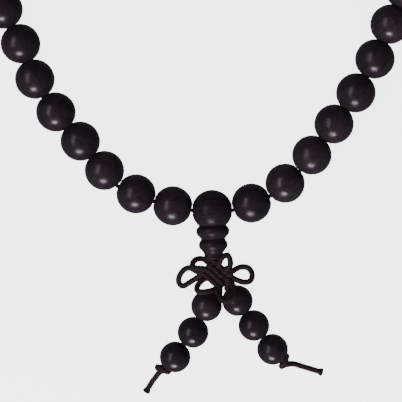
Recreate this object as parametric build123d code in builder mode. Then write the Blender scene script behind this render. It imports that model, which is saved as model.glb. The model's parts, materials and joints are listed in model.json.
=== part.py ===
"""Mala prayer beads: a closed string of 108 beads with a three-hole guru bead, a turned tower
bead, a woven knot with six loops, and two short strands of three smaller beads.

The mala lies flat. +Z is up, and the surface it lies on is z = 0. The origin is the point
where the guru bead rests, +Y runs up through the loop, and the pendant hangs along -Y.
"""

from build123d import *
import math
import os

os.makedirs("parts", exist_ok=True)

# Beads, in millimetres and degrees
BEAD = 8.0
BEAD_BORE = 1.6
GURU = 8.3
SMALL_BEAD = 6.25
SMALL_BORE = 1.3
FACE_HALF_ANGLE = 15.8  # a bead's flat end faces, seen from its centre
BEAD_GAP = 0.12  # play between neighbours on the string

# Cords
STRING = 0.8
CORD = 1.0

# How the loop lies. Bearings are those of each bead's bore, from +X on the right side and
# from -X on the left, for the beads next to the guru bead. The rest follow a formula.
HALF_COUNT = 54
RIGHT_BEARINGS = [21, 40, 53, 56, 54, 67, 66]
LEFT_BEARINGS = [13, 23, 50, 51, 49, 66, 70, 56]
RIGHT_FOOT, LEFT_FOOT = 30.0, 25.5  # radius of each side's curve at the guru bead
PITCH = 7.95
SINGLES = 10  # beads on each side that have a node of their own
GROUP = 4  # beads in each node after those
COUNTING_BEAD_REACH = 4.4  # its centre's distance from the left side's end of the bare string

# Guru bead and tower
GURU_CROSS_BORE = 3.2
SEAT_GAP = 0.05
TOWER_BORE = 2.4
TOWER_RIM = 2.8
TOWER_CORNERS = [(3.8, -4.25), (2.42, -5.8), (3.2, -7.1), (1.87, -8.8)]  # discs and waists
TOWER_CORNER_RADII = [1.2, 0.15, 1.2, 1.0]
TOWER_END_Y = -9.9
PENDANT_TILT = 1.8  # the tower and the knot's stem lean this far towards +X
STRING_END_Y = -5.5
STEM_TOP_Y = -6.2
STEM = 1.8

# Knot: the corners of its woven body, top, left, bottom and right
KNOT_CORNERS = [(0.1, -9.75), (-2.8, -12.9), (1.55, -16.9), (4.1, -13.3)]
KNOT_THICKNESS = 2.6
KNOT_Z = 3.9

# Pairs of loops that stand out of the knot's body, left one first, from where each leaves
# it to where it goes back in
KNOT_LOOPS = {
    "upper": [
        [
            (-0.5, -11.4, 4.4), (-1.3, -10.85, 4.3), (-2.5, -10.0, 4.2), (-3.6, -10.0, 4.1),
            (-4.35, -11.15, 4.1), (-3.9, -12.2, 4.4), (-2.8, -12.5, 4.6), (-1.2, -12.3, 4.6),
        ],
        [
            (1.2, -11.5, 4.6), (1.65, -10.65, 5.75), (2.2, -9.75, 6.05), (3.0, -9.0, 5.8),
            (3.85, -9.4, 5.0), (4.1, -10.5, 4.6), (3.85, -11.6, 4.4), (3.25, -12.3, 4.6),
            (2.4, -12.9, 4.6),
        ],
    ],
    "side": [
        [
            (-1.5, -13.5, 3.5), (-3.1, -14.0, 3.4), (-4.7, -15.0, 2.9), (-6.2, -16.0, 2.6),
            (-7.1, -14.9, 2.6), (-6.7, -13.3, 2.8), (-5.6, -12.1, 3.1), (-4.4, -11.85, 3.3),
            (-3.2, -12.75, 3.5), (-1.7, -13.1, 3.5),
        ],
        [
            (3.1, -13.3, 3.9), (4.3, -13.75, 4.2), (5.3, -14.3, 4.3), (6.7, -15.1, 4.4),
            (8.1, -14.75, 4.0), (8.5, -13.3, 3.5), (7.9, -12.05, 3.1), (6.4, -11.55, 3.2),
            (4.9, -12.05, 3.5), (3.3, -12.95, 3.6),
        ],
    ],
    "lower": [
        [
            (0.3, -15.3, 4.4), (0.4, -16.3, 4.6), (-0.4, -16.8, 5.3), (-1.7, -17.1, 5.6),
            (-3.2, -17.15, 5.3), (-3.4, -16.0, 4.9), (-2.8, -15.1, 4.7), (-1.9, -14.1, 4.5),
            (-0.9, -13.6, 4.5),
        ],
        [
            (1.4, -15.6, 4.5), (1.6, -16.7, 4.8), (1.45, -17.7, 5.3), (2.2, -19.0, 6.0),
            (3.6, -19.05, 6.8), (4.85, -18.2, 7.0), (4.85, -16.5, 6.3), (4.3, -15.2, 5.2),
            (3.5, -14.6, 4.6), (2.4, -14.0, 4.6),
        ],
    ],
}

# Strands: first bead's centre, the three beads' bearings, the cord's start at the knot, the
# knot that ends the strand, and the tail's two further points
STRANDS = {
    "left": {
        "first": (-1.15, -19.8),
        "bearings": [-116, -118, -134],
        "start": (0.36, -16.58, 3.4),
        "tail": [(-12.0, -35.5, 1.3), (-13.75, -38.25, 0.5)],
    },
    "right": {
        "first": (5.25, -18.72),
        "bearings": [-55, -58, -46],
        "start": (2.85, -15.4, 3.4),
        "tail": [(18.9, -32.75, 1.3), (23.0, -34.0, 0.5)],
    },
}
END_KNOT_LENGTH = 2.0
END_KNOT_DIAMETER = 2.7
END_KNOT_Z = 2.3

BEAD_Z = BEAD / 2
GURU_Z = GURU / 2
SMALL_Z = SMALL_BEAD / 2
FACE_SHARE = math.cos(math.radians(FACE_HALF_ANGLE))


def along(bearing):
    """The unit step along a bearing in degrees."""
    return Vector(math.cos(math.radians(bearing)), math.sin(math.radians(bearing)))


def spacing(turn, diameter):
    """Distance between the centres of neighbours whose bores differ by turn degrees: the
    rims of their end faces meet on the inside of the turn."""
    return diameter * math.cos(math.radians(FACE_HALF_ANGLE - abs(turn) / 2)) + BEAD_GAP


def laid_bearing(position, foot_radius):
    """Bearing of the bead at a position from the guru bead, where the string lies smoothly.
    The foot of the loop hangs in a catenary, and the top mirrors it."""
    middle = (HALF_COUNT + 1) / 2
    if position > middle:
        return 180 - laid_bearing(HALF_COUNT + 1 - position, foot_radius)
    foot = math.degrees(math.atan(position * PITCH / foot_radius))
    short = 90 - math.degrees(math.atan(middle * PITCH / foot_radius))
    return foot + short * position / middle


def lay_side(first_bearings, foot_radius, count):
    """Centres, bearings and string corners of one side, walked outwards from the guru bead
    as if it were the right side. A corner comes before each bead and after the last."""
    bearings = list(first_bearings)
    for position in range(len(bearings) + 1, count + 1):
        bearings.append(laid_bearing(position, foot_radius))
    centre, bearing, diameter = Vector(0, 0), 0.0, GURU
    centres, corners = [], []
    for following in bearings:
        turn = following - bearing
        reach = spacing(turn, (diameter + BEAD) / 2) / 2 / math.cos(math.radians(turn / 2))
        share = diameter / (diameter + BEAD) * 2
        corner = centre + along(bearing) * reach * share
        centre = corner + along(following) * reach * (2 - share)
        centres.append(centre)
        corners.append(corner)
        bearing, diameter = following, BEAD
    corners.append(centre + along(bearing) * (FACE_SHARE * BEAD + BEAD_GAP) / 2)
    return centres, bearings, corners


def lay_strand(strand):
    """Centres of a strand's beads, and its cord's corners before each bead and after the
    last."""
    bearing = strand["bearings"][0]
    centre = Vector(*strand["first"])
    reach = (SMALL_BEAD * FACE_SHARE + BEAD_GAP) / 2
    centres, corners = [centre], [centre - along(bearing) * reach]
    for following in strand["bearings"][1:]:
        turn = following - bearing
        turned_reach = spacing(turn, SMALL_BEAD) / 2 / math.cos(math.radians(turn / 2))
        corners.append(centre + along(bearing) * turned_reach)
        centre = corners[-1] + along(following) * turned_reach
        centres.append(centre)
        bearing = following
    corners.append(centre + along(bearing) * reach)
    return centres, corners


def mirrored(points):
    """Points of the left side, walked as if it were the right."""
    return [Vector(-point.X, point.Y) for point in points]


def corner_radii(points, most_cut=math.inf):
    """A radius for each inner corner of a route: as large as its two runs allow, and no
    larger than cuts the corner by most_cut."""
    radii = []
    for before, corner, after in zip(points, points[1:], points[2:]):
        run_in, run_out = Vector(corner) - Vector(before), Vector(after) - Vector(corner)
        half_turn = math.radians(run_in.get_angle(run_out)) / 2
        radius = 0.45 * min(run_in.length, run_out.length) / math.tan(half_turn)
        radii.append(min(radius, most_cut / (1 / math.cos(half_turn) - 1)))
    return radii


def make_bead(diameter, bore):
    """A round bead lying along X, faced flat where its bore comes out."""
    radius = diameter / 2
    half_length = radius * FACE_SHARE
    face = radius * math.sin(math.radians(FACE_HALF_ANGLE))
    with BuildPart() as bead:
        with BuildSketch(Plane.XY):
            with BuildLine():
                Line((-half_length, bore / 2), (-half_length, face))
                ThreePointArc((-half_length, face), (0, radius), (half_length, face))
                Line((half_length, face), (half_length, bore / 2))
                Line((half_length, bore / 2), (-half_length, bore / 2))
            make_face()
        revolve(axis=Axis.X)
    return bead.part


def make_tube(route, diameter, most_cut=math.inf):
    """A round cord along a route of straight runs joined by tangent arcs."""
    radii = corner_radii(route, most_cut)
    with BuildPart() as tube:
        with BuildLine():
            line = FilletPolyline(*route, radius=radii)
        with BuildSketch(Plane(origin=line @ 0, z_dir=line % 0)):
            Circle(diameter / 2)
        sweep()
    share = tube.part.volume / (math.pi * diameter**2 / 4 * line.length)
    print(f"cord: {line.length:.1f} mm, tightest radius {min(radii):.2f}, volume {share:.4f}")
    return tube.part


def write_node(name, part):
    part.label = name
    export_step(part, f"parts/{name}.step")


def write_tubes(name, routes, diameter, most_cut=math.inf):
    print(name)
    with BuildPart() as tubes:
        add([make_tube(route, diameter, most_cut) for route in routes])
    write_node(name, tubes.part)


def write_beads(name, bead, places):
    with BuildPart() as beads:
        with Locations(*places):
            add(bead)
    write_node(name, beads.part)


def place(centre, bearing, height):
    return Location((centre.X, centre.Y, height), (0, 0, bearing))


# The loop: a single bead a node near the guru bead, then groups
round_bead = make_bead(BEAD, BEAD_BORE)
right = lay_side(RIGHT_BEARINGS, RIGHT_FOOT, HALF_COUNT)
left = lay_side(LEFT_BEARINGS, LEFT_FOOT, HALF_COUNT - 1)
sides = {"right": right, "left": (mirrored(left[0]), [-b for b in left[1]], mirrored(left[2]))}

for side, (centres, bearings, corners) in sides.items():
    places = [place(c, b, BEAD_Z) for c, b in zip(centres, bearings)]
    for number in range(1, SINGLES + 1):
        write_beads(f"bead_{side}_{number:02d}", round_bead, places[number - 1 : number])
    for start in range(SINGLES, len(places), GROUP):
        end = min(start + GROUP, len(places))
        write_beads(f"beads_{side}_{start + 1}_to_{end}", round_bead, places[start:end])

# Counting bead, on the bare string between the two sides' last beads
right_end, left_end = sides["right"][2][-1], sides["left"][2][-1]
bare = right_end - left_end
bare_way = bare.normalized()
counting_centre = left_end + bare_way * COUNTING_BEAD_REACH
bare_bearing = math.degrees(math.atan2(bare_way.Y, bare_way.X))
write_beads("counting_bead", round_bead, [place(counting_centre, bare_bearing, BEAD_Z)])
print(f"bare string {bare.length:.2f} mm at {bare_bearing:.1f} degrees")

# Guru bead: a cross bore for the string and a wider bore down into the tower
with BuildPart() as guru_bead:
    with Locations((0, 0, GURU_Z)):
        add(make_bead(GURU, BEAD_BORE))
    with BuildSketch(Plane.XZ.offset(-GURU_CROSS_BORE / 4)):
        with Locations((0, GURU_Z)):
            Circle(GURU_CROSS_BORE / 2)
    extrude(amount=GURU, mode=Mode.SUBTRACT)
write_node("guru_bead", guru_bead.part)

# Tower: two turned discs and a neck, with a hollow seat that fits the guru bead
seat = GURU / 2 + SEAT_GAP
seat_rim_y = -math.sqrt(seat**2 - TOWER_RIM**2)
seat_foot_y = -math.sqrt(seat**2 - (TOWER_BORE / 2) ** 2)
seat_middle = TOWER_RIM * 0.75
neck_end = (TOWER_CORNERS[-1][0], TOWER_END_Y)
with BuildPart() as guru_tower:
    with BuildSketch(Plane.XY.offset(GURU_Z)):
        with BuildLine():
            ThreePointArc(
                (TOWER_BORE / 2, seat_foot_y),
                (seat_middle, -math.sqrt(seat**2 - seat_middle**2)),
                (TOWER_RIM, seat_rim_y),
            )
            FilletPolyline(
                (TOWER_RIM, seat_rim_y), *TOWER_CORNERS, neck_end, radius=TOWER_CORNER_RADII
            )
            Line(neck_end, (TOWER_BORE / 2, TOWER_END_Y))
            Line((TOWER_BORE / 2, TOWER_END_Y), (TOWER_BORE / 2, seat_foot_y))
        make_face()
    revolve(axis=Axis((0, 0, GURU_Z), (0, 1, 0)))
    fillet(guru_tower.edges().group_by(Axis.Y)[0].sort_by(SortBy.LENGTH)[-1], radius=0.25)
write_node("guru_tower", guru_tower.part.rotate(Axis.Z, PENDANT_TILT))

# Main string: up out of the tower, round the whole loop, and back down into it
end_x = STRING / 2 + 0.1
string_route = [Vector(end_x, STRING_END_Y), Vector(end_x, 0)]
string_route += sides["right"][2]
string_route += reversed(sides["left"][2])
string_route += [Vector(-end_x, 0), Vector(-end_x, STRING_END_Y)]
string_points = [(p.X, p.Y, BEAD_Z) for p in string_route]
write_tubes("main_string", [string_points], STRING, most_cut=0.25)

# Knot: the outer shape of its woven body, with a stem up the tower's bore, and its loops
with BuildPart() as stem:
    with BuildSketch(Plane.XZ.offset(-STEM_TOP_Y)):
        with Locations((0, GURU_Z)):
            Circle(STEM / 2)
    extrude(amount=STEM_TOP_Y - KNOT_CORNERS[0][1] + STEM)
with BuildPart() as knot_body:
    with BuildSketch(Plane.XY.offset(KNOT_Z - KNOT_THICKNESS / 2)) as outline:
        Polygon(*KNOT_CORNERS, align=None)
        fillet(outline.vertices(), radius=0.7)
    extrude(amount=KNOT_THICKNESS)
    chamfer(knot_body.faces().group_by(Axis.Z)[-1].edges(), length=0.5)
    chamfer(knot_body.faces().group_by(Axis.Z)[0].edges(), length=0.5)
    add(stem.part.rotate(Axis.Z, PENDANT_TILT))
write_node("knot_body", knot_body.part)

for level, routes in KNOT_LOOPS.items():
    write_tubes(f"knot_{level}_loops", routes, CORD)

# Strands: a cord, three beads, the knot that holds them, and a tail
small_bead = make_bead(SMALL_BEAD, SMALL_BORE)
with BuildPart() as end_knot:
    with BuildSketch(Plane.XY):
        with BuildLine():
            ThreePointArc(
                (-END_KNOT_LENGTH / 2, 0), (0, END_KNOT_DIAMETER / 2), (END_KNOT_LENGTH / 2, 0)
            )
            Line((END_KNOT_LENGTH / 2, 0), (-END_KNOT_LENGTH / 2, 0))
        make_face()
    revolve(axis=Axis.X)

for side, strand in STRANDS.items():
    centres, corners = lay_strand(strand)
    for number, (centre, bearing) in enumerate(zip(centres, strand["bearings"]), start=1):
        bead_place = place(centre, bearing, SMALL_Z)
        write_beads(f"{side}_strand_bead_{number}", small_bead, [bead_place])
    last_bearing = strand["bearings"][-1]
    knot_at = corners[-1] + along(last_bearing) * (END_KNOT_LENGTH / 2 + 0.1)
    route = [strand["start"]] + [(c.X, c.Y, SMALL_Z) for c in corners]
    route += [(knot_at.X, knot_at.Y, END_KNOT_Z)] + strand["tail"]
    write_tubes(f"{side}_strand_cord", [route], CORD, most_cut=0.12)
    with BuildPart() as placed_knot:
        with Locations(place(knot_at, last_bearing, END_KNOT_Z)):
            add(end_knot.part)
    write_node(f"{side}_end_knot", placed_knot.part)
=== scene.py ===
"""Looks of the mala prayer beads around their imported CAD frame, in metres.

The knot is two real cords, woven lane by lane. Each bead is a turned wooden bead of its own,
and the string, which bends at every bead, is built in one stretch per moving body.
"""

import json
import math
import random

import bmesh
import bpy
import numpy as np
from mathutils import Matrix, Quaternion, Vector


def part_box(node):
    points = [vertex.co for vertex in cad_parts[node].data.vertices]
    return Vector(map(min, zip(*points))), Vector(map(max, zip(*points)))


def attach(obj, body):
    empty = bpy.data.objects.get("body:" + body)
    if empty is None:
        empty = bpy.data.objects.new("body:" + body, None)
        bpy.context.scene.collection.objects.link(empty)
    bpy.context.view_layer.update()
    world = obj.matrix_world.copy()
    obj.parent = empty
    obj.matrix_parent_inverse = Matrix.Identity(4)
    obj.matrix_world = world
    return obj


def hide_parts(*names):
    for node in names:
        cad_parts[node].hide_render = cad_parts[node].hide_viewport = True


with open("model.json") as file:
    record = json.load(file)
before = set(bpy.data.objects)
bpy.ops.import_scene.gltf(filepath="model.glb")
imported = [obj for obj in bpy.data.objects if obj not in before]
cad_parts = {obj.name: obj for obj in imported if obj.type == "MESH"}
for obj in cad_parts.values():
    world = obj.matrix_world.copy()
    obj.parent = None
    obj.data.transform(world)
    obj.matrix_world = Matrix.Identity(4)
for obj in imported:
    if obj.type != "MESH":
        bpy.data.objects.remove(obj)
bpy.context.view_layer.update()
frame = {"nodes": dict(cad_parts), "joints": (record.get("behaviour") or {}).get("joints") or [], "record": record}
record = frame["record"]
bodies_of = record["behaviour"]["bodies"]
joint_by_child = {joint["child"]: joint for joint in frame["joints"]}

MM = 0.001
CORD = 1.2 * MM  # thickness of the knot's and strands' cords as shown
STRING = 0.8 * MM
BEAD_BORE = 1.6 * MM
SMALL_BORE = 1.3 * MM
FACE_HALF_ANGLE = math.radians(15.8)  # of a bead's flat end face, seen from its middle

guru_low, guru_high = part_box("guru_bead")
guru = Vector((0, 0, (guru_low.z + guru_high.z) / 2))  # its middle, above the origin
bead_low, bead_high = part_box("bead_right_01")
bead_middle = (bead_low.z + bead_high.z) / 2


# ---- Camera -------------------------------------------------------------------------------

VIEW_WIDTH = 83.0 * MM  # what the picture takes in, at the height of the beads' middles
VIEW_OFFSET = Vector((-2.3, 1.9)) * MM
LENS, SENSOR = 100.0, 36.0

camera_data = bpy.data.cameras.new("camera")
camera_data.lens = LENS
camera_data.sensor_width = SENSOR
camera_data.clip_start = 0.01
camera = bpy.data.objects.new("camera", camera_data)
camera.location = (
    guru.x + VIEW_OFFSET.x,
    guru.y + VIEW_OFFSET.y,
    bead_middle + VIEW_WIDTH * LENS / SENSOR,
)
bpy.context.scene.collection.objects.link(camera)
bpy.context.scene.camera = camera


# ---- Materials ----------------------------------------------------------------------------

def set_or_link(tree, socket, value):
    """Give a socket a value, or link another node's output to it."""
    if isinstance(value, bpy.types.NodeSocket):
        tree.links.new(value, socket)
    else:
        socket.default_value = value


def add_node(tree, kind, **inputs):
    """A shader node, with its inputs set by name: a value, or another node's output."""
    node = tree.nodes.new(kind)
    for name, value in inputs.items():
        set_or_link(tree, node.inputs[name.replace("_", " ")], value)
    return node


def attribute(tree, name):
    node = tree.nodes.new("ShaderNodeAttribute")
    node.attribute_name = name
    return node


def ramp(tree, factor, stops):
    """A ramp over (position, grey) stops."""
    node = tree.nodes.new("ShaderNodeValToRGB")
    tree.links.new(factor, node.inputs["Fac"])
    elements = node.color_ramp.elements
    while len(elements) < len(stops):
        elements.new(0.5)
    for element, (position, grey) in zip(elements, stops):
        element.position = position
        element.color = (grey, grey, grey, 1)
    return node.outputs["Color"]


def stretched(tree, vector, factors):
    node = tree.nodes.new("ShaderNodeVectorMath")
    node.operation = "MULTIPLY"
    tree.links.new(vector, node.inputs[0])
    node.inputs[1].default_value = factors
    return node.outputs["Vector"]


def noise(tree, vector, scale, detail, rough=0.55, distortion=0.0):
    node = add_node(
        tree, "ShaderNodeTexNoise", Vector=vector, Scale=scale, Detail=detail,
        Roughness=rough, Distortion=distortion,
    )
    return node.outputs["Fac"]


MIX_SOCKETS = (0, 6, 7)  # a mix node's inputs for its factor and two colours
MIX_OUTPUT = 2


def mixed(tree, factor, first, second, blend="MIX"):
    node = tree.nodes.new("ShaderNodeMix")
    node.data_type, node.blend_type = "RGBA", blend
    for number, value in zip(MIX_SOCKETS, (factor, first, second)):
        set_or_link(tree, node.inputs[number], value)
    return node.outputs[MIX_OUTPUT]


def maths(tree, operation, first, second):
    node = tree.nodes.new("ShaderNodeMath")
    node.operation = operation
    for socket, value in zip(node.inputs, (first, second)):
        set_or_link(tree, socket, value)
    return node.outputs[0]


def bumped(tree, height, distance, strength, under=None):
    """The normal over a relief, and over another normal if there is one under it."""
    node = add_node(tree, "ShaderNodeBump", Height=height, Distance=distance, Strength=strength)
    if under is not None:
        tree.links.new(under, node.inputs["Normal"])
    return node.outputs["Normal"]


PORE_COLOUR = (0.004, 0.0032, 0.0035, 1)
GRAIN_RELIEF, PORE_DEPTH = 4e-6, 9e-6  # metres
BEAD_IOR, GURU_IOR, CORD_IOR = 1.13, 1.075, 1.06  # low, as oiled wood and yarn mirror little


def blackwood(name, dark, streak, roughness, ior=BEAD_IOR):
    """Oiled, polished black hardwood: fine streaks along the grain, short open pores and a
    soft uneven polish. The grain attribute holds each bead's own place in the wood, in mm."""
    material = bpy.data.materials.new(name)
    material.use_nodes = True
    tree = material.node_tree
    shader = tree.nodes["Principled BSDF"]
    grain = attribute(tree, "grain").outputs["Vector"]
    tone = attribute(tree, "tone").outputs["Fac"]
    streaks = noise(tree, stretched(tree, grain, (0.10, 1.0, 1.0)), 1.6, 6.0, 0.6, 0.4)
    rings = noise(tree, stretched(tree, grain, (0.03, 0.5, 0.5)), 0.9, 2.0, 0.5, 0.8)
    pores = noise(tree, stretched(tree, grain, (0.55, 5.5, 5.5)), 1.3, 3.0, 0.5)
    pits = ramp(tree, pores, [(0.60, 0.0), (0.70, 1.0)])
    body = mixed(
        tree, ramp(tree, streaks, [(0.38, 0.0), (0.72, 1.0)]), (*dark, 1), (*streak, 1)
    )
    body = mixed(tree, ramp(tree, rings, [(0.35, 0.0), (0.7, 0.45)]), body, (*streak, 1))
    body = mixed(tree, pits, body, PORE_COLOUR)
    toned = mixed(tree, 1.0, body, tone, "MULTIPLY")
    tree.links.new(toned, shader.inputs["Base Color"])
    polish = noise(tree, grain, 0.7, 5.0, 0.65)
    tree.links.new(
        ramp(tree, polish, [(0.3, roughness - 0.05), (0.75, roughness + 0.09)]),
        shader.inputs["Roughness"],
    )
    fibres = noise(tree, stretched(tree, grain, (0.7, 4.0, 4.0)), 2.4, 4.0)
    fine = bumped(tree, fibres, GRAIN_RELIEF, 0.5)
    sunk = bumped(tree, maths(tree, "SUBTRACT", 1.0, pits), PORE_DEPTH, 0.55, fine)
    tree.links.new(sunk, shader.inputs["Normal"])
    shader.inputs["IOR"].default_value = ior
    return material


FILAMENT_RELIEF = 1.4e-5  # metres


def braided(name, dark, light):
    """Braided nylon or silk cord. The raised yarns carry a painted highlight and the gaps between
    them painted shade, and fine filaments run along each. The lay attribute is (turns round,
    mm along, relief)."""
    material = bpy.data.materials.new(name)
    material.use_nodes = True
    tree = material.node_tree
    shader = tree.nodes["Principled BSDF"]
    lay = attribute(tree, "lay").outputs["Vector"]
    parts = add_node(tree, "ShaderNodeSeparateXYZ", Vector=lay)
    relief = parts.outputs["Z"]
    filaments = noise(tree, stretched(tree, lay, (34.0, 6.0, 0.0)), 1.0, 3.0, 0.6)
    fuzz = noise(tree, stretched(tree, lay, (5.0, 1.4, 0.0)), 1.0, 5.0, 0.7)
    # painted shade and highlight: the cord darker in the gaps between yarns and paler on the raised yarns, by
    # their relief
    painted_yarn_shading = mixed(tree, ramp(tree, relief, [(0.35, 0.0), (0.85, 1.0)]), (*dark, 1), (*light, 1))
    strands = ramp(tree, filaments, [(0.3, 0.62), (0.75, 1.35)])
    shade = mixed(tree, 1.0, painted_yarn_shading, strands, "MULTIPLY")
    worn = mixed(tree, ramp(tree, fuzz, [(0.55, 0.0), (0.85, 0.35)]), shade, (*light, 1))
    tree.links.new(worn, shader.inputs["Base Color"])
    tree.links.new(ramp(tree, fuzz, [(0.3, 0.55), (0.8, 0.78)]), shader.inputs["Roughness"])
    tree.links.new(bumped(tree, filaments, FILAMENT_RELIEF, 0.6), shader.inputs["Normal"])
    shader.inputs["IOR"].default_value = CORD_IOR
    return material


bead_wood = blackwood("bead_wood", (0.0028, 0.0018, 0.0029), (0.0060, 0.0041, 0.0055), 0.26)
guru_wood = blackwood(
    "guru_wood", (0.0026, 0.0017, 0.0027), (0.0055, 0.0038, 0.0051), 0.27, GURU_IOR
)
strand_wood = blackwood(
    "strand_bead_wood", (0.0028, 0.0018, 0.0029), (0.0057, 0.0039, 0.0052), 0.24
)
# Each cord's first colour is its painted shade in the gaps between yarns, the second its painted highlight on the
# raised yarns, also used for the paler fuzz
knot_cord = braided("knot_cord", (0.0003, 0.0002, 0.0002), (0.0112, 0.0066, 0.0076))
string_cord = braided("string_cord", (0.0020, 0.0012, 0.0015), (0.0062, 0.0041, 0.0046))


# ---- Mesh helpers -------------------------------------------------------------------------

def make_object(name, points, faces, material, attributes):
    """A smooth mesh piece. attributes maps a name to one value, or vector, for each point."""
    mesh = bpy.data.meshes.new(name)
    mesh.from_pydata([tuple(p) for p in points], [], faces)
    for key, values in attributes.items():
        values = np.asarray(values, np.float32)
        kind = "FLOAT_VECTOR" if values.ndim == 2 else "FLOAT"
        made = mesh.attributes.new(key, kind, "POINT")
        made.data.foreach_set("vector" if values.ndim == 2 else "value", values.ravel())
    mesh.materials.append(material)
    mesh.polygons.foreach_set("use_smooth", [True] * len(mesh.polygons))
    mesh.update()
    piece = bpy.data.objects.new(name, mesh)
    bpy.context.scene.collection.objects.link(piece)
    return piece


def ring_faces(rings, around, closed=False):
    """Quads between consecutive rings of points, and from the last to the first if closed."""
    faces = []
    for r in range(rings if closed else rings - 1):
        here, there = r * around, (r + 1) % rings * around
        for k in range(around):
            n = (k + 1) % around
            faces.append((here + k, there + k, there + n, here + n))
    return faces


def facing(axis):
    """Rotation matrix whose X column is axis, with Z as near up as it can be."""
    x = Vector(axis).normalized()
    y = Vector((0, 0, 1)).cross(x).normalized()
    return Matrix((x, y, x.cross(y))).transposed()


# ---- Beads --------------------------------------------------------------------------------

BEAD_SIDES = 44
SIDE_STEPS = 26  # from one end face to the other
FACE_REACH = 0.04 * MM  # how much nearer its neighbour each face is, the play being taken up
FULLNESS = 0.075 * MM  # how much fuller a bead's side is than the CAD bead's
FACE_TOLERANCE = 0.012  # of a bead's radius
WELD = 0.001 * MM  # points of a CAD mesh that are nearer than this are one
# The rounded edge of an end face and the softened mouth of the bore, as points (in from the
# face, out from the face's edge or the bore's wall)
SIDE_ROUNDED = 0.154 * MM  # how much of the side the edge's rounding takes up
RIM = [(0.03 * MM, 0.035 * MM), (0, -0.077 * MM)]
MOUTH = [(0, 0.07 * MM), (0.02 * MM, 0.02 * MM), (0.10 * MM, 0)]
BORE_RING = 0.4  # where a ring goes round the bore's wall, between the middle and a face
# How the beads differ
LENGTH_SPREAD = 0.004
OVALS = (0.0005, 0.0018)
OVAL_FROM = 0.6  # bore widths from the axis, for the bore stays round
WOOD_SHIFT = 60  # mm from the wood's origin
TONES = (0.86, 1.16)


def bead_profile(radius, bore):
    """(along, out) points of a turned bead's closed outline: its side, rounded onto each end
    face, and its bore, softened at the mouths."""
    end = radius * math.cos(FACE_HALF_ANGLE) + FACE_REACH
    full = radius + FULLNESS
    face = math.sqrt(full**2 - end**2)
    first_angle = math.acos(end / full) + SIDE_ROUNDED / radius
    side = []
    for k in range(SIDE_STEPS + 1):
        angle = first_angle + (math.pi - 2 * first_angle) * k / SIDE_STEPS
        side.append((full * math.cos(angle), full * math.sin(angle)))
    half = [(end - inward, face + out) for inward, out in RIM]
    half += [(end - inward, bore / 2 + out) for inward, out in MOUTH]
    half.append((end * BORE_RING, bore / 2))
    return half[::-1] + side + [(-along, out) for along, out in half]


def bead_points(centre, axis, radius, bore, draw):
    """Points, faces, grain and tone of one bead, turned by hand: a little long or short, a
    little oval, and cut from its own place in the wood. draw is its own random generator."""
    profile = bead_profile(radius, bore)
    turn = facing(axis)
    spin = Matrix.Rotation(draw.uniform(0, 2 * math.pi), 3, "X")
    wood = Quaternion(
        Vector((draw.uniform(-1, 1), draw.uniform(-1, 1), draw.uniform(-1, 1))).normalized(),
        draw.uniform(0, math.pi),
    ).to_matrix()
    shift = Vector(draw.uniform(-WOOD_SHIFT, WOOD_SHIFT) for _ in range(3))
    stretch = 1 + draw.uniform(-LENGTH_SPREAD, LENGTH_SPREAD)
    oval, phase = draw.uniform(*OVALS), draw.uniform(0, 2 * math.pi)
    tone = draw.uniform(*TONES)
    middle = centre + Vector((0, 0, FULLNESS))
    points, grain = [], []
    for along, out in profile:
        for k in range(BEAD_SIDES):
            angle = 2 * math.pi * k / BEAD_SIDES
            swell = oval * math.cos(2 * angle + phase) if out > bore * OVAL_FROM else 0
            reach = out * (1 + swell)
            local = Vector((along * stretch, reach * math.cos(angle), reach * math.sin(angle)))
            points.append(middle + turn @ (spin @ local))
            grain.append(wood @ (local / MM) + shift)
    faces = ring_faces(len(profile), BEAD_SIDES, closed=True)
    return points, faces, grain, [tone] * len(points)


def solid_islands(node):
    """The separate solids of a CAD node, each as (its points, its polygons), where a polygon
    is (normal, middle, area). They are in the mesh's own order, the same in every run."""
    solid = bmesh.new()
    solid.from_mesh(frame["nodes"][node].data)
    bmesh.ops.remove_doubles(solid, verts=solid.verts, dist=WELD)
    solid.faces.index_update()
    seen, islands = set(), []
    for first in solid.verts:
        if first in seen:
            continue
        stack, found = [first], set()
        while stack:
            vertex = stack.pop()
            if vertex not in found:
                found.add(vertex)
                stack += [edge.other_vert(vertex) for edge in vertex.link_edges]
        seen |= found
        polygons = {polygon for vertex in found for polygon in vertex.link_faces}
        sides = [
            (p.normal.copy(), p.calc_center_median(), p.calc_area())
            for p in sorted(polygons, key=lambda polygon: polygon.index)
        ]
        islands.append((np.array([v.co for v in found]), sides))
    solid.free()
    return islands


def bead_places(node, radius):
    """(centre, axis) of each bead in a CAD node, in order along the string. The axis comes
    from the end faces, the only ones that lie nearer the centre than the side does."""
    flat = radius * math.cos(FACE_HALF_ANGLE)
    places = []
    for points, sides in solid_islands(node):
        centre = Vector((points.min(0) + points.max(0)) / 2)
        axis = Vector()
        for normal, middle, area in sides:
            reach = (middle - centre).dot(normal)
            if abs(reach - flat) < FACE_TOLERANCE * radius:
                axis += normal * area * (1 if normal.dot(axis) >= 0 else -1)
        places.append((centre, axis.normalized()))
    return places


def along_string(places, start):
    """The same places ordered outwards from a point, with axes pointing outwards."""
    ordered, here, left = [], Vector(start), list(places)
    while left:
        nearest = min(left, key=lambda place: (place[0] - here).length)
        left.remove(nearest)
        centre, axis = nearest
        ordered.append((centre, axis if axis.dot(centre - here) > 0 else -axis))
        here = centre
    return ordered


def make_beads(node, places, radius, bore, material):
    """Makes one piece of turned beads, which stands for a CAD node."""
    points, faces, grain, tone = [], [], [], []
    for number, (centre, axis) in enumerate(places):
        draw = random.Random(f"{node} {number}")
        p, f, g, t = bead_points(centre, axis, radius, bore, draw)
        faces += [tuple(len(points) + k for k in face) for face in f]
        points += p
        grain += g
        tone += t
    piece = make_object(f"turned_{node}", points, faces, material, {"grain": grain, "tone": tone})
    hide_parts(node)
    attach(piece, next(body for body, nodes in bodies_of.items() if node in nodes))


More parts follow.
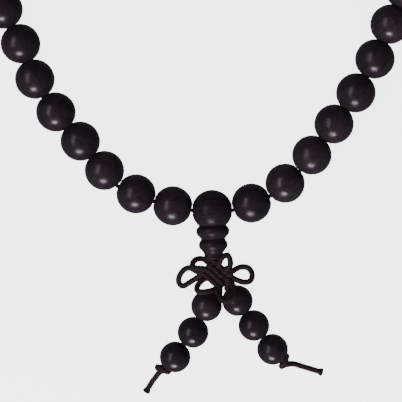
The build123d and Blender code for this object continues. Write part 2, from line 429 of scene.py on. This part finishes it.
bead_radius = (bead_high.z - bead_low.z) / 2
laid = {}  # node: its beads' (centre, axis), outwards along the string
for node in frame["nodes"]:
    if node.startswith(("bead_", "beads_")):
        start = joint_by_child[node]["pos_m"]
        laid[node] = along_string(bead_places(node, bead_radius), start)
        make_beads(node, laid[node], bead_radius, BEAD_BORE, bead_wood)
counting = bead_places("counting_bead", bead_radius)
make_beads("counting_bead", counting, bead_radius, BEAD_BORE, bead_wood)

for node in frame["nodes"]:
    if "_strand_bead_" in node:
        low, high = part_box(node)
        small_radius = (high.z - low.z) / 2
        places = bead_places(node, small_radius)
        make_beads(node, places, small_radius, SMALL_BORE, strand_wood)


# ---- Guru bead and tower ------------------------------------------------------------------

GURU_FULLNESS = 1.015  # size of the shown guru bead and tower against the CAD ones


def fuller(node, body, about, seed):
    """Makes a piece with a CAD node's shape, a little fuller about a point, and the wood's
    attributes."""
    mesh = frame["nodes"][node].data.copy()
    here, back = Matrix.Translation(about), Matrix.Translation(-about)
    mesh.transform(here @ Matrix.Scale(GURU_FULLNESS, 4) @ back)
    piece = bpy.data.objects.new(f"turned_{node}", mesh)
    bpy.context.scene.collection.objects.link(piece)
    draw = random.Random(seed)
    shift = np.array([draw.uniform(-WOOD_SHIFT, WOOD_SHIFT) for _ in range(3)])
    points = np.array([v.co for v in mesh.vertices]) / MM + shift
    grain = mesh.attributes.new("grain", "FLOAT_VECTOR", "POINT")
    grain.data.foreach_set("vector", points.astype(np.float32).ravel())
    tone = mesh.attributes.new("tone", "FLOAT", "POINT")
    tone.data.foreach_set("value", np.ones(len(points), np.float32))
    mesh.materials.clear()
    mesh.materials.append(guru_wood)
    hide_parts(node)
    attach(piece, body)


fuller("guru_bead", "root", Vector((0, 0, 0)), "guru")  # about the point it rests on
fuller("guru_tower", "tower", guru, "tower")


# ---- Cord tubes ---------------------------------------------------------------------------

LINE_STEPS = 24  # points read from the spline per control point


def centreline(name, route):
    """Points along the smooth line that a route's control points, in mm, give."""
    data = bpy.data.curves.new(name, "CURVE")
    data.dimensions = "3D"
    data.resolution_u = LINE_STEPS
    spline = data.splines.new("NURBS")
    spline.points.add(len(route) - 1)
    for point, place in zip(spline.points, route):
        point.co = (*(Vector(place) * MM), 1)
    spline.order_u = 3
    spline.use_endpoint_u = True
    holder = bpy.data.objects.new(name, data)
    mesh = bpy.data.meshes.new_from_object(holder)
    line = [vertex.co.copy() for vertex in mesh.vertices]
    bpy.data.objects.remove(holder)
    bpy.data.curves.remove(data)
    bpy.data.meshes.remove(mesh)
    return line


def evenly(line, step):
    """The same line with its points a step apart, and how far along each is."""
    points = np.array(line)
    run = np.concatenate([[0], np.cumsum(np.linalg.norm(np.diff(points, axis=0), axis=1))])
    count = max(int(run[-1] / step), 2)
    places = np.linspace(0, run[-1], count + 1)
    return np.stack([np.interp(places, run, points[:, k]) for k in range(3)], 1), places


def carried_frames(points):
    """Unit tangents and two unit normals at each point of a line. The normals are carried
    along it without twisting."""
    tangents = np.gradient(points, axis=0)
    tangents /= np.linalg.norm(tangents, axis=1)[:, None]
    side = np.cross(tangents[0], (0, 0, 1.0))
    if np.linalg.norm(side) < 1e-6:
        side = np.array((1.0, 0, 0))
    sides = []
    for tangent in tangents:
        side = side - tangent * side.dot(tangent)
        side /= np.linalg.norm(side)
        sides.append(side)
    sides = np.array(sides)
    return tangents, sides, np.cross(tangents, sides)


BRAID_ROUND = 6  # yarn crossings counted round the cord
BRAID_PITCH = 0.85  # mm along the cord between crossings in line
BRAID_DEPTH = 0.10  # how far the gaps between yarns are sunk, as a share of the radius
BRAID_RISE = 1.4  # height of the yarns over the gaps, in depths of the gaps
TUBE_SIDES, TUBE_STEP = 24, 0.075 * MM
STRING_SIDES, STRING_STEP = 14, 0.16 * MM
# Rings of the dome on a cord's end: how far out in cord widths, and share of its radius
CAP_RINGS = ((0.088, 0.93), (0.187, 0.74), (0.253, 0.42))
CAP_TIP = 0.27  # cord widths
# relief given to the end domes for the cord's colour, which puts them in the painted shade of the gaps
CAP_RELIEF = 0.3


def braid_tube(line, diameter, swells=(), step=TUBE_STEP, sides=TUBE_SIDES):
    """Points, faces, lay and centreline of a braided cord along a line, with the relief of
    its yarns and a dome on each end. swells are (mm from the end, factor, spread) changes
    of its thickness."""
    points, along = evenly(line, step)
    tangents, normals, binormals = carried_frames(points)
    total = along[-1]
    around = 2 * math.pi * np.arange(sides) / sides
    turns = np.arange(sides) / sides
    u = BRAID_ROUND * turns[None, :] + (along / MM / BRAID_PITCH)[:, None]
    v = BRAID_ROUND * turns[None, :] - (along / MM / BRAID_PITCH)[:, None]
    relief = np.sqrt(np.abs(np.cos(math.pi * u) * np.cos(math.pi * v)))
    thick = np.ones(len(points))
    for place, factor, spread in swells:
        thick += (factor - 1) * np.exp(-(((total - along) / MM - place) / spread) ** 2)
    yarns = 1 - BRAID_DEPTH + BRAID_DEPTH * BRAID_RISE * relief
    radius = diameter / 2 * thick[:, None] * yarns
    shell = (
        points[:, None, :]
        + radius[:, :, None] * np.cos(around)[None, :, None] * normals[:, None, :]
        + radius[:, :, None] * np.sin(around)[None, :, None] * binormals[:, None, :]
    )
    verts = [tuple(p) for p in shell.reshape(-1, 3)]
    rings = len(points)
    lay = np.stack([
        np.broadcast_to(turns[None, :], relief.shape),
        np.broadcast_to((along / MM)[:, None], relief.shape),
        relief,
    ], 2).reshape(-1, 3)
    lay = [tuple(p) for p in lay]
    faces = ring_faces(rings, sides)
    for last in (False, True):  # the dome on each end
        ring = rings - 1 if last else 0
        way = tangents[ring] * (1 if last else -1)
        rim = shell[ring]
        previous = ring * sides
        for lift, share in CAP_RINGS:
            start = len(verts)
            centre = points[ring]
            for k in range(sides):
                place = centre + (rim[k] - centre) * share + way * lift * diameter
                verts.append(tuple(place))
                lay.append((turns[k], along[ring] / MM, CAP_RELIEF))
            for k in range(sides):
                n = (k + 1) % sides
                quad = (previous + k, start + k, start + n, previous + n)
                faces.append(quad if last else quad[::-1])
            previous = start
        tip = len(verts)
        verts.append(tuple(points[ring] + way * diameter * CAP_TIP))
        lay.append((0.0, along[ring] / MM, CAP_RELIEF))
        for k in range(sides):
            n = (k + 1) % sides
            fan = (previous + k, tip, previous + n)
            faces.append(fan if last else fan[::-1])
    return verts, faces, lay, [tuple(p) for p in points]


# ---- The knot: two cords woven four lanes by four -----------------------------------------

# All in mm, like every route
KNOT_Z = 3.9
TOP, LEFT = Vector((0.2, -9.65)), Vector((-2.8, -12.9))
BOTTOM, RIGHT = Vector((1.85, -17.0)), Vector((4.2, -13.2))
LANES = 4
# How far a control point is up or down for the smooth line to be half a cord's width off the
# middle, by how many of its neighbours are on the other side of it
LIFTS = {0: 0.44, 1: 0.58, 2: 0.87}


def lane_share(number):
    """How far across the knot a lane is, from 0 to 1."""
    return (number - 0.5) / LANES


def falling_over(falling, rising):
    """Whether the falling lane is on top where it meets the rising one. The first two go over
    and under by turns, and the others are on top of all."""
    return falling > 2 or (falling + rising) % 2 == 0


def lane_points(kind, number, forward=True):
    """Control points of one lane over and under the four it crosses. Falling lanes run from
    the upper left edge to the lower right one, and rising ones from the upper right edge to
    the lower left one."""
    falling_kind = kind == "falling"
    pairs = [(number, k) if falling_kind else (k, number) for k in range(1, LANES + 1)]
    ups = [1 if falling_over(*pair) == falling_kind else -1 for pair in pairs]
    points = []
    for k, (falling, rising) in enumerate(pairs):
        u, v = lane_share(rising), lane_share(falling)
        flat = (TOP * (1 - u) + RIGHT * u) * (1 - v) + (LEFT * (1 - u) + BOTTOM * u) * v
        others = sum(1 for n in (k - 1, k + 1) if 0 <= n < LANES and ups[n] != ups[k])
        points.append((flat.x, flat.y, KNOT_Z + ups[k] * LIFTS[others]))
    return points if forward else points[::-1]


RIGHT_EAR = [
    (4.3, -14.0, 4.2), (5.3, -14.5, 4.3), (6.7, -14.95, 4.4), (8.05, -14.6, 4.0),
    (8.4, -13.25, 3.5), (7.8, -12.05, 3.1), (6.4, -11.6, 3.2), (4.9, -12.1, 3.5),
]
LOWER_LEFT_EAR = [
    (0.6, -16.25, 4.9), (-0.4, -16.5, 6.1), (-1.7, -16.7, 6.5), (-3.0, -16.65, 6.2),
    (-3.25, -15.75, 5.3), (-2.6, -14.95, 4.7), (-1.85, -14.2, 4.5),
]
UPPER_RIGHT_EAR = [
    (1.55, -10.45, 4.8), (2.2, -9.5, 5.0), (3.2, -9.1, 4.7), (3.75, -10.2, 4.4),
    (3.8, -11.5, 4.4), (3.1, -12.0, 4.75),
]
LEFT_EAR = [
    (-3.1, -14.0, 3.4), (-4.7, -15.0, 2.9), (-6.2, -16.0, 2.6), (-7.1, -14.9, 2.6),
    (-6.7, -13.3, 2.8), (-5.6, -12.1, 3.1), (-4.4, -11.85, 3.3), (-3.2, -12.75, 3.5),
]
LOWER_RIGHT_EAR = [
    (1.6, -16.8, 4.8), (1.42, -17.4, 5.3), (1.95, -18.5, 6.0), (3.15, -18.6, 6.7),
    (4.6, -17.9, 6.8), (4.75, -16.4, 6.2), (4.2, -15.2, 5.2), (3.55, -14.5, 4.6),
]
UPPER_LEFT_EAR = [
    (-1.0, -10.7, 2.9), (-1.6, -10.2, 2.1), (-2.5, -10.0, 2.7), (-3.5, -10.2, 3.6),
    (-4.2, -11.1, 4.1), (-3.8, -11.95, 4.4), (-2.4, -11.95, 4.6),
]

first_knot_route = (
    [(-0.25, -6.4, 4.0), (-0.25, -8.2, 4.0), (-0.50, -9.9, 4.1)]
    + lane_points("falling", 1)
    + RIGHT_EAR
    + lane_points("rising", 4)
    + LOWER_LEFT_EAR
    + lane_points("rising", 2, forward=False)
    + UPPER_RIGHT_EAR
    + lane_points("rising", 3)
)
second_knot_route = (
    [(0.68, -6.4, 4.0), (0.74, -8.2, 4.0), (0.78, -9.6, 4.1)]
    + lane_points("rising", 1)
    + LEFT_EAR
    + lane_points("falling", 4)
    + LOWER_RIGHT_EAR
    + lane_points("falling", 2, forward=False)
    + UPPER_LEFT_EAR
    + lane_points("falling", 3)
)

for name, route, stands_for, length in (
    ("knot_cord_first", first_knot_route, ["knot_body", "knot_side_loops"], 0.051),
    ("knot_cord_second", second_knot_route, ["knot_upper_loops", "knot_lower_loops"], 0.056),
):
    verts, faces, lay, path = braid_tube(centreline(name, route), CORD)
    piece = make_object(name, verts, faces, knot_cord, {"lay": lay})
    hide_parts(*stands_for)
    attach(piece, "pendant")


# ---- Strands ------------------------------------------------------------------------------

OVERHAND = [  # along the strand, to its left and up, from the end knot's middle, in mm
    (-0.45, 0.28, 0.15), (0.35, 0.28, -0.05), (0.75, 0.05, -0.5), (0.75, -0.75, -0.6),
    (0.45, -1.25, 0.0), (0.2, -0.8, 0.8), (-0.05, 0.1, 1.0), (-0.25, 0.95, 0.75),
    (-0.45, 1.25, 0.0), (-0.6, 0.7, -0.7), (-0.6, -0.2, -0.75), (-0.3, -0.45, -0.2),
    (0.3, -0.3, 0.15), (0.95, -0.1, 0.2),
]
END_KNOT_Z = 2.2
TAIL_SWELLS = [(0.0, 1.42, 0.45), (0.9, 0.94, 0.4)]  # a flared tip, where it was melted
# How far before its first bead's middle and past its last one's a strand has control points,
# as a share of half the way between two middles
ENTRY, EXIT = 1.02, 0.97


def middle_of(node):
    low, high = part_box(node)
    return (low + high) / 2


def strand_route(side, start, knot_bearing, knot_at, tail):
    """Route of a strand: out of the knot, through its three beads, tied, and its tail."""
    first, second, third = (middle_of(f"{side}_strand_bead_{k}") / MM for k in (1, 2, 3))
    upper, lower = (first + second) / 2, (second + third) / 2
    reach = (first - upper).length
    above = first + (first - upper).normalized() * reach * ENTRY
    below = third + (third - lower).normalized() * reach * EXIT
    route = start + [above, first, upper, second, lower, third, below]
    turn = Matrix.Rotation(knot_bearing, 3, "Z")
    route += [Vector((*knot_at, END_KNOT_Z)) + turn @ Vector(p) for p in OVERHAND]
    return [tuple(p) for p in route] + tail


STRANDS = {  # in mm; knot_bearing is the way that a strand runs through its end knot
    "left": {
        "start": [(1.2, -15.3, 3.4), (0.95, -16.85, 3.4)],
        "knot_bearing": math.radians(-134),
        "knot_at": (-10.2, -33.05),
        "tail": [(-11.6, -34.6, 1.7), (-12.7, -36.1, 0.95), (-13.75, -37.95, 0.86)],
    },
    "right": {
        "start": [(3.0, -14.2, 3.6), (3.3, -15.35, 3.5), (2.9, -16.35, 3.4)],
        "knot_bearing": math.radians(-46),
        "knot_at": (14.95, -31.4),
        "tail": [(16.7, -31.9, 1.7), (18.9, -32.7, 0.95), (22.9, -33.9, 0.86)],
    },
}

for side, strand in STRANDS.items():
    name = f"strand_cord_{side}"
    route = strand_route(side, **strand)
    verts, faces, lay, path = braid_tube(centreline(name, route), CORD, TAIL_SWELLS)
    piece = make_object(name, verts, faces, knot_cord, {"lay": lay})
    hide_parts(f"{side}_strand_cord", f"{side}_end_knot")
    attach(piece, f"{side}_strand")


# ---- The string, in one stretch per moving body -------------------------------------------

STRING_OVERLAP = 0.2 * MM  # each stretch reaches this far into its neighbour
HALF_PLAY = 0.06 * MM  # half the gap between neighbouring CAD beads
LEFT_HOLD, RIGHT_HOLD = 0.6 * MM, 1.2 * MM  # how far the bare stretch goes into its end beads
INSIDE_GURU = [(0.5, -5.5), (0.5, -0.9), (0.9, -0.25), (1.6, 0)]  # mm, its right half, from -Y


def string_piece(name, route, body):
    """Makes a stretch of the string along points, in metres, that moves with a body."""
    verts, faces, lay, _ = braid_tube(route, STRING, step=STRING_STEP, sides=STRING_SIDES)
    piece = make_object(name, verts, faces, string_cord, {"lay": lay})
    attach(piece, body)
    return piece


def group_corners(places):
    """Where the string turns between neighbouring beads of one node."""
    corners = []
    for (centre, axis), (following, _) in zip(places, places[1:]):
        gap = following - centre
        corners.append(centre + axis * gap.length_squared / (2 * gap.dot(axis)))
    return corners


def bodies_of_side(side):
    """The bodies of one side's beads, from the guru bead to the loop's far end."""
    return [node for node in laid if node.split("_")[1] == side]


side_ends = {}  # side: where its last bead ends, and which way the string leaves it
for side in ("right", "left"):
    nodes = bodies_of_side(side)
    for number, node in enumerate(nodes):
        start = Vector(joint_by_child[node]["pos_m"])
        places = laid[node]
        (_, first_axis), (last_centre, last_axis) = places[0], places[-1]
        if number + 1 < len(nodes):
            end = Vector(joint_by_child[nodes[number + 1]]["pos_m"])
        else:
            reach = bead_radius * math.cos(FACE_HALF_ANGLE) + HALF_PLAY
            end = last_centre + last_axis * reach
            side_ends[side] = end, last_axis
        route = [start - first_axis * STRING_OVERLAP]
        for (centre, _), corner in zip(places, group_corners(places)):
            route += [centre, corner]
        route += [last_centre, end + last_axis * STRING_OVERLAP]
        string_piece(f"string_in_{node}", route, node)

left_end, left_way = side_ends["left"]
right_end, right_way = side_ends["right"]
bare_route = [
    left_end - left_way * LEFT_HOLD, left_end, right_end, right_end - right_way * RIGHT_HOLD
]
string_piece("string_bare", bare_route, bodies_of_side("left")[-1])

for sign, side in ((1, "right"), (-1, "left")):
    first = Vector(joint_by_child[bodies_of_side(side)[0]]["pos_m"])
    half = [Vector((sign * x * MM, y * MM, bead_middle)) for x, y in INSIDE_GURU]
    half.append(first + Vector((sign * STRING_OVERLAP, 0, 0)))
    piece = string_piece(f"string_in_guru_{side}", half, "root")
    if side == "right":
        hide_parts("main_string")


# ---- Floor and light ----------------------------------------------------------------------

FLOOR_REACH = 1.5
FLOOR_GREY, FLOOR_ROUGHNESS = 0.90, 0.9
SKY_STRENGTH = 0.30

floor_material = bpy.data.materials.new("floor")
floor_material.use_nodes = True
floor_shader = floor_material.node_tree.nodes["Principled BSDF"]
floor_shader.inputs["Base Color"].default_value = (FLOOR_GREY, FLOOR_GREY, FLOOR_GREY, 1)
floor_shader.inputs["Roughness"].default_value = FLOOR_ROUGHNESS
floor_mesh = bpy.data.meshes.new("floor")
corners = [(x * FLOOR_REACH, y * FLOOR_REACH, 0) for x, y in ((-1, -1), (1, -1), (1, 1), (-1, 1))]
floor_mesh.from_pydata(corners, [], [(0, 1, 2, 3)])
floor_mesh.materials.append(floor_material)
floor = bpy.data.objects.new("floor", floor_mesh)
floor.visible_glossy = False  # the polished beads don't mirror it
bpy.context.scene.collection.objects.link(floor)

world = bpy.data.worlds.new("world")
world.use_nodes = True
sky = world.node_tree.nodes["Background"]
sky.inputs["Color"].default_value = (1, 1, 1, 1)
sky.inputs["Strength"].default_value = SKY_STRENGTH
bpy.context.scene.world = world


def area_light(name, azimuth, elevation, distance, width, height, power, mirrored=True):
    """A soft box that looks at the guru bead from a compass direction, 0 being from -Y. It
    casts no shadows, so that the floor stays evenly pale. mirrored says whether polished
    surfaces show it."""
    data = bpy.data.lights.new(name, "AREA")
    data.use_shadow = False
    data.shape = "RECTANGLE"
    data.size, data.size_y = width, height
    data.energy = power
    light = bpy.data.objects.new(name, data)
    bearing, rise = math.radians(azimuth), math.radians(elevation)
    way = Vector((
        math.sin(bearing) * math.cos(rise), -math.cos(bearing) * math.cos(rise), math.sin(rise)
    ))
    light.location = guru + way * distance
    light.rotation_euler = way.to_track_quat("Z", "Y").to_euler()
    light.visible_glossy = mirrored
    bpy.context.scene.collection.objects.link(light)


area_light(
    "front_box", azimuth=-6, elevation=23, distance=1.0, width=0.40, height=0.24, power=52
)
area_light(
    "left_strip", azimuth=-97, elevation=53, distance=1.0, width=0.9, height=0.30, power=19
)
area_light(
    "top_box", azimuth=0, elevation=90, distance=2.0, width=1.6, height=1.6, power=60,
    mirrored=False,
)
